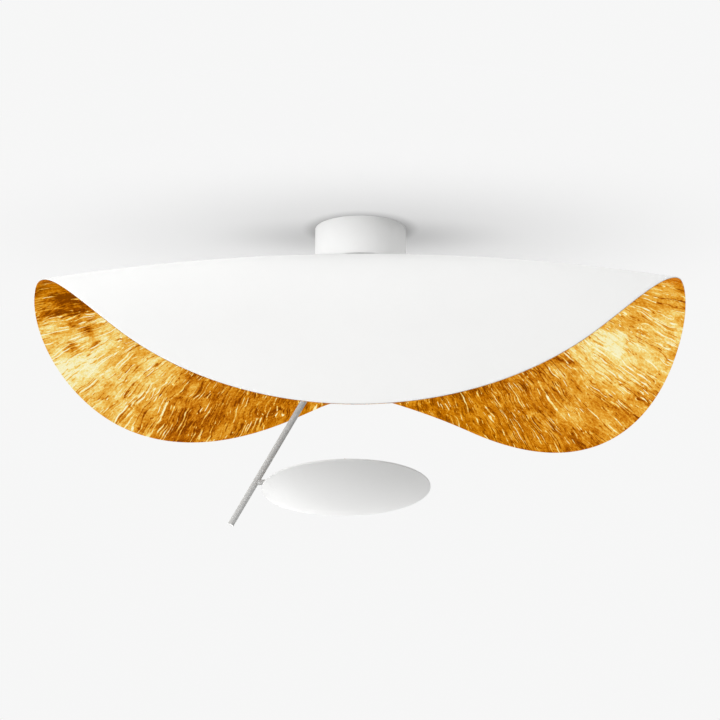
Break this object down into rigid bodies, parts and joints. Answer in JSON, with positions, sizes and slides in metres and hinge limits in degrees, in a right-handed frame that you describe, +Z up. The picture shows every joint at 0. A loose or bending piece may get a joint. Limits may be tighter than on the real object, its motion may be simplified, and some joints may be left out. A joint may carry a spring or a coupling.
{
  "type": "ceiling light",
  "caption": "Ceiling light with a wide leaf-shaped shade bent into drooping lobes, gold inside, and a small LED disc on a leaning rod that lights it.",
  "frame": {"origin": "middle of the mounting plate's back face, on the ceiling", "axes": "+Z up into the ceiling, -Y towards the front lobe of the leaf, +X to the right seen from the front"},
  "size_m": [0.9932, 0.8289, 0.4714],
  "materials": {
    "white_lacquer": "matt white lacquer on sheet and turned aluminium",
    "white_screws": "matt white enamel on steel",
    "gold_leaf": "brushed gold leaf, mottled, with fine radial streaks",
    "satin_grey": "satin pale grey",
    "zinc_steel": "zinc plated steel",
    "bright_steel": "bright turned steel",
    "brass": "turned brass",
    "ivory_plastic": "moulded polyamide",
    "driver_case": "moulded plastic case with electronics inside",
    "connector_plastic": "moulded plastic",
    "lead_jacket": "flexible jacket",
    "black_rubber": "soft black rubber",
    "bare_aluminium": "bare sheet",
    "white_board": "white solder mask",
    "led_phosphor": "yellow phosphor",
    "white_plastic": "white moulded plastic",
    "opal": "opal acrylic"
  },
  "bodies": {
    "ceiling_set": {"mounting_plate": "zinc_steel", "earth_screw": "brass", "terminal_block": "ivory_plastic", "terminal_screws": "brass", "cable_clamp": "ivory_plastic", "clamp_screws": "bright_steel", "driver": "driver_case", "driver_screws": "bright_steel", "dc_connector": "connector_plastic", "dc_lead": "lead_jacket", "canopy": "white_lacquer", "canopy_screws": "white_screws", "stem_boss": "zinc_steel", "stem": "zinc_steel", "stem_locknut": "zinc_steel", "upper_gasket": "black_rubber", "leaf_shade": "white_lacquer", "leaf_lining": "gold_leaf", "lower_gasket": "black_rubber", "hub_plate": "zinc_steel", "shade_nut": "zinc_steel", "hub_cup": "white_lacquer", "hub_screws": "bright_steel", "swivel_bush": "brass", "stop_pin": "bright_steel"},
    "swivel": {"swivel_yoke": "white_lacquer", "stop_washer": "bright_steel", "wave_washer": "bright_steel", "spindle_nut": "bright_steel", "pivot_screw": "bright_steel", "pivot_nut": "bright_steel", "pivot_washers": "bright_steel"},
    "arm": {"rod_head": "satin_grey", "head_pin": "bright_steel", "rod": "satin_grey", "rod_cap": "satin_grey", "rod_grommet": "black_rubber", "rod_lead": "lead_jacket", "stub": "satin_grey", "stub_washer": "bright_steel", "stub_nut": "bright_steel"},
    "light_disc": {"disc_pan": "white_lacquer", "top_cover": "white_lacquer", "cover_screws": "bright_steel", "disc_lug": "white_lacquer", "lug_screws": "bright_steel", "lead_grommet": "black_rubber", "heat_spreader": "bare_aluminium", "led_board": "white_board", "leds": "led_phosphor", "board_connector": "ivory_plastic", "board_screws": "bright_steel", "spacer_ring": "white_plastic", "diffuser": "opal"}
  },
  "joints": [
    {"name": "arm_turn", "type": "hinge", "parent": "ceiling_set", "child": "swivel", "pos_m": [0, 0, -0.1], "axis": [0, 0, 1], "range_deg": [-165, 165]},
    {"name": "arm_tilt", "type": "hinge", "parent": "swivel", "child": "arm", "pos_m": [0, 0, -0.123], "axis": [0, 1, 0], "range_deg": [-20, 12]},
    {"name": "disc_tilt", "type": "hinge", "parent": "arm", "child": "light_disc", "pos_m": [-0.15905, 0, -0.40298], "axis": [0.9998, 0, 0.0175], "range_deg": [-40, 40]}
  ]
}
